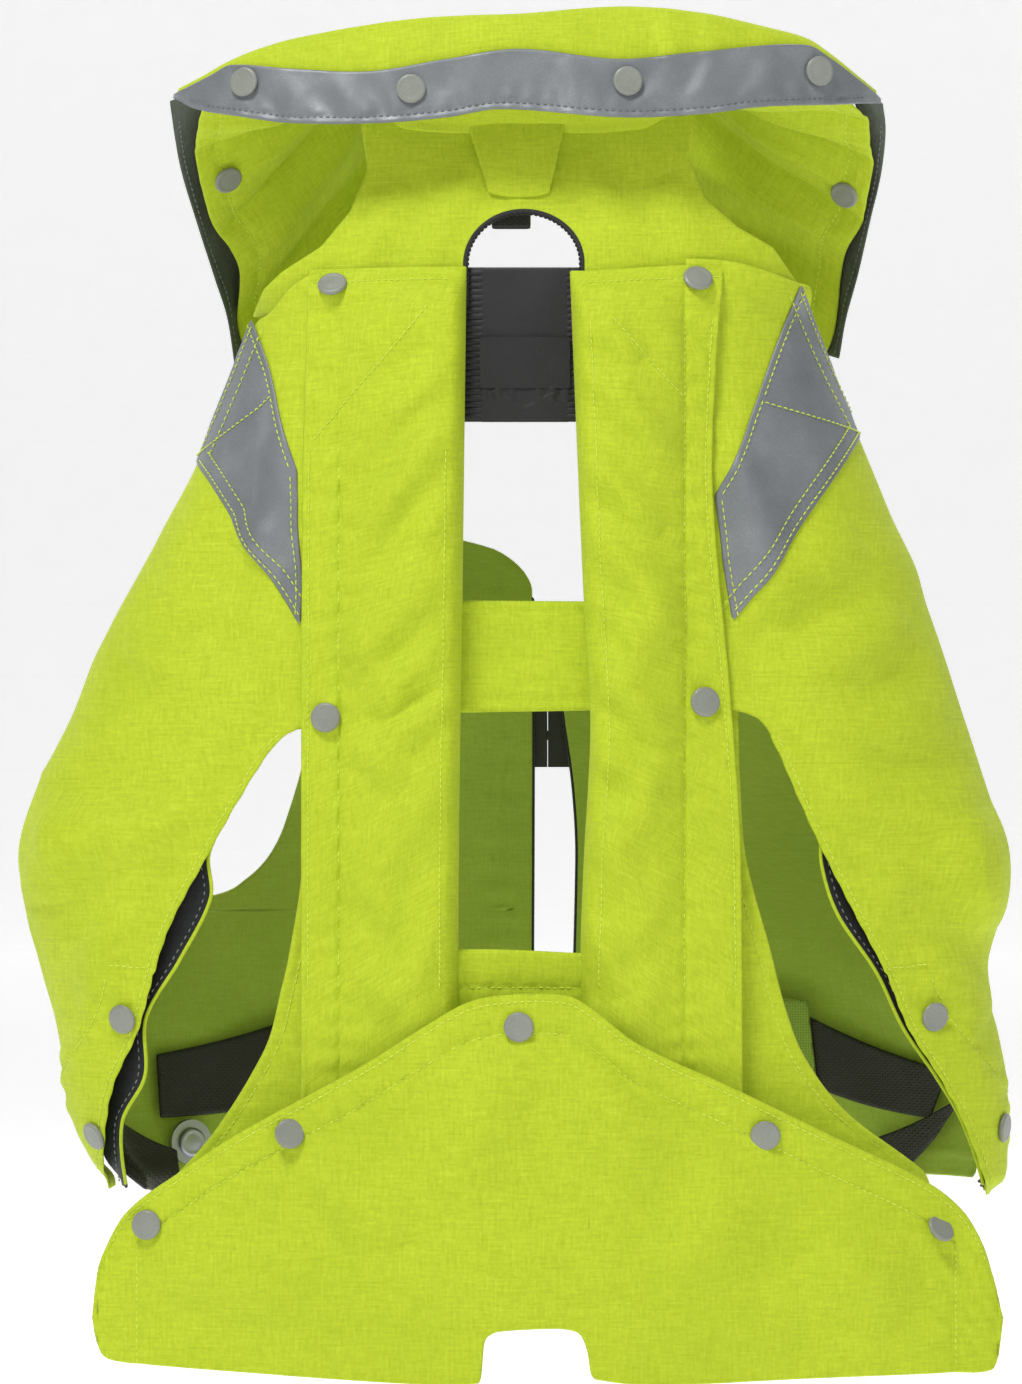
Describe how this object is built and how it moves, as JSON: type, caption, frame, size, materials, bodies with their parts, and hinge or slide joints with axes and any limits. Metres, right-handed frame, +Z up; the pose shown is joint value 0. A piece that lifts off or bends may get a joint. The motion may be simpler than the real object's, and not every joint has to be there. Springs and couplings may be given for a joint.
{
  "type": "wearable airbag vest",
  "caption": "Sleeveless hi-vis airbag vest with opening back covers, a tail flap, side wings, a flared collar, a front buckle and a gas inflator.",
  "frame": {"origin": "midway between the undersides of the two shoulder straps, where the wearer's shoulders hold the vest up", "axes": "+X to the wearer's right, +Y the way the wearer faces, +Z up"},
  "size_m": [0.5096, 0.2485, 0.7001],
  "materials": {
    "yellow": "coated woven polyester, matt, hi-vis yellow",
    "black_fabric": "black woven lining",
    "elastic": "black knitted elastic",
    "webbing": "black woven webbing",
    "reflective": "grey reflective coated fabric",
    "bladder": "welded coated film",
    "snap_plastic": "moulded grey caps",
    "black_plastic": "moulded, fine texture",
    "steel": "drawn steel",
    "anodised": "anodised, satin",
    "red_plastic": "moulded red"
  },
  "bodies": {
    "vest": {"back_base_panel": "yellow", "yoke_panel": "yellow", "yoke_tab": "yellow", "middle_cross_band": "yellow", "tail_backing": "yellow", "wing_cover_left": "yellow", "wing_cover_right": "yellow", "shoulder_bridge_left": "yellow", "shoulder_bridge_right": "yellow", "front_panel_left": "yellow", "front_panel_right": "yellow", "strap_anchor_right": "yellow", "collar_cover": "yellow", "upper_cross_band": "black_fabric", "wing_lining_left": "black_fabric", "wing_lining_right": "black_fabric", "collar_lining": "black_fabric", "strap_upper_left": "elastic", "strap_upper_right": "elastic", "strap_lower_left": "elastic", "strap_lower_right": "elastic", "buckle_webbing_left": "webbing", "buckle_webbing_right": "webbing", "shoulder_patch_left": "reflective", "shoulder_patch_right": "reflective", "collar_band": "reflective", "back_bladder_left": "bladder", "back_bladder_right": "bladder", "tail_bladder": "bladder", "wing_bladder_left": "bladder", "wing_bladder_right": "bladder", "collar_bladder": "bladder", "badge_plate": "black_plastic", "inflator_body": "black_plastic", "buckle_socket": "black_plastic", "buckle_plug": "black_plastic", "inflator_nut": "anodised"},
    "cover_left": {"back_cover_left": "yellow", "snap_back_upper_left": "snap_plastic", "snap_back_middle_left": "snap_plastic"},
    "cover_right": {"back_cover_right": "yellow", "snap_back_upper_right": "snap_plastic", "snap_back_middle_right": "snap_plastic"},
    "tail_flap": {"tail_cover": "yellow", "snap_tail_centre": "snap_plastic", "snap_tail_left": "snap_plastic", "snap_tail_right": "snap_plastic", "snap_tail_outer_left": "snap_plastic", "snap_tail_outer_right": "snap_plastic"},
    "side_flap_left": {"wing_flap_left": "yellow", "snap_wing_upper_left": "snap_plastic", "snap_wing_lower_left": "snap_plastic"},
    "side_flap_right": {"wing_flap_right": "yellow", "snap_wing_upper_right": "snap_plastic", "snap_wing_lower_right": "snap_plastic"},
    "prong_upper": {"buckle_prong_upper": "black_plastic"},
    "prong_lower": {"buckle_prong_lower": "black_plastic"},
    "gas_cylinder": {"gas_cylinder": "steel"},
    "firing_pin": {"firing_pin": "steel"},
    "lanyard_key": {"lanyard_key": "red_plastic"}
  },
  "joints": [
    {"name": "back_cover_left_open", "type": "hinge", "parent": "vest", "child": "cover_left", "pos_m": [-0.03237, -0.11316, -0.41937], "axis": [-0.0021, 0.0292, 0.9996], "range_deg": [0, 55]},
    {"name": "back_cover_right_open", "type": "hinge", "parent": "vest", "child": "cover_right", "pos_m": [0.03237, -0.11316, -0.41937], "axis": [-0.0021, -0.0292, -0.9996], "range_deg": [0, 55]},
    {"name": "tail_flap_open", "type": "hinge", "parent": "vest", "child": "tail_flap", "pos_m": [0.0158, -0.12, -0.6095], "axis": [1, 0, 0], "range_deg": [0, 75]},
    {"name": "side_flap_left_open", "type": "hinge", "parent": "vest", "child": "side_flap_left", "pos_m": [-0.22224, 0.01894, -0.519], "axis": [0.1477, -0.1041, -0.9835], "range_deg": [0, 60]},
    {"name": "side_flap_right_open", "type": "hinge", "parent": "vest", "child": "side_flap_right", "pos_m": [0.23874, 0.01894, -0.519], "axis": [0.0287, 0.1053, 0.994], "range_deg": [0, 60]},
    {"name": "buckle_prong_upper_squeeze", "type": "hinge", "parent": "vest", "child": "prong_upper", "pos_m": [0.01233, 0.11023, -0.276], "axis": [0, -1, 0], "range_deg": [0, 12], "stiffness_Nm_per_rad": 0.1},
    {"name": "buckle_prong_lower_squeeze", "type": "hinge", "parent": "vest", "child": "prong_lower", "pos_m": [0.01233, 0.11023, -0.292], "axis": [0, 1, 0], "range_deg": [0, 12], "stiffness_Nm_per_rad": 0.1},
    {"name": "gas_cylinder_unscrew", "type": "hinge", "parent": "vest", "child": "gas_cylinder", "pos_m": [-0.1932, 0.08915, -0.499], "axis": [0, 0, 1], "continuous": true},
    {"name": "firing_pin_strike", "type": "slide", "parent": "vest", "child": "firing_pin", "axis": [0, 0, 1], "range_m": [0, 0.006], "stiffness_N_per_m": 60},
    {"name": "lanyard_key_pull", "type": "slide", "parent": "vest", "child": "lanyard_key", "axis": [0, 0, -1], "range_m": [0, 0.022]}
  ],
  "couplings": [
    {"joint": "buckle_prong_lower_squeeze", "follows": "buckle_prong_upper_squeeze", "ratio": 1}
  ]
}
